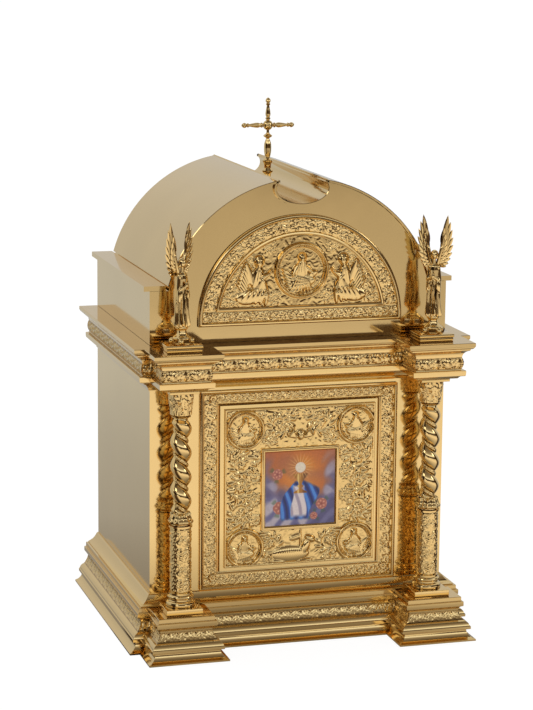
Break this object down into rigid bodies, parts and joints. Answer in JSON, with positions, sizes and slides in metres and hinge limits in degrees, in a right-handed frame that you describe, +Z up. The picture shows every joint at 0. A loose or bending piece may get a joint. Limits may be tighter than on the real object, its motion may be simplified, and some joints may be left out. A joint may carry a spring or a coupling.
{
  "type": "altar tabernacle",
  "caption": "Gilt metal altar tabernacle: hinged relief door with enamel picture, twisted columns, angels, barrel roof and cross.",
  "frame": {"origin": "under the middle of the base, on the plane it stands on", "axes": "+Z up, the door faces -Y, +X to the right seen from the front"},
  "size_m": [0.468, 0.403, 0.699],
  "materials": {
    "gilt_metal": "mirror polished gilding over cast and chased brass",
    "gilt_sheet": "mirror polished pale gilt sheet",
    "enamel": "glossy painted enamel, orange, blue and violet"
  },
  "bodies": {
    "case": {"base_moulding": "gilt_metal", "cabinet_body": "gilt_sheet", "cornice_moulding": "gilt_metal", "attic_body": "gilt_sheet", "barrel_roof": "gilt_sheet", "roof_ledge_left": "gilt_sheet", "roof_ledge_right": "gilt_sheet", "lunette_surround": "gilt_metal", "lunette_relief": "gilt_metal", "door_surround": "gilt_metal", "surround_rosette_left_lower": "gilt_metal", "surround_rosette_left_upper": "gilt_metal", "column_base_left": "gilt_metal", "column_drum_left": "gilt_metal", "column_shaft_left": "gilt_metal", "column_capital_left": "gilt_metal", "angel_plinth_left": "gilt_metal", "angel_left": "gilt_metal", "surround_rosette_right_lower": "gilt_metal", "surround_rosette_right_upper": "gilt_metal", "column_base_right": "gilt_metal", "column_drum_right": "gilt_metal", "column_shaft_right": "gilt_metal", "column_capital_right": "gilt_metal", "angel_plinth_right": "gilt_metal", "angel_right": "gilt_metal", "altar_cross": "gilt_metal"},
    "door": {"door_leaf": "gilt_metal", "door_relief": "gilt_metal", "enamel_frame": "gilt_metal", "enamel_plaque": "enamel", "keyhole_cover": "gilt_metal"}
  },
  "joints": [
    {"name": "door_hinge", "type": "hinge", "parent": "case", "child": "door", "pos_m": [0.105, -0.1168, 0.205], "axis": [0, 0, 1], "range_deg": [0, 85]}
  ]
}
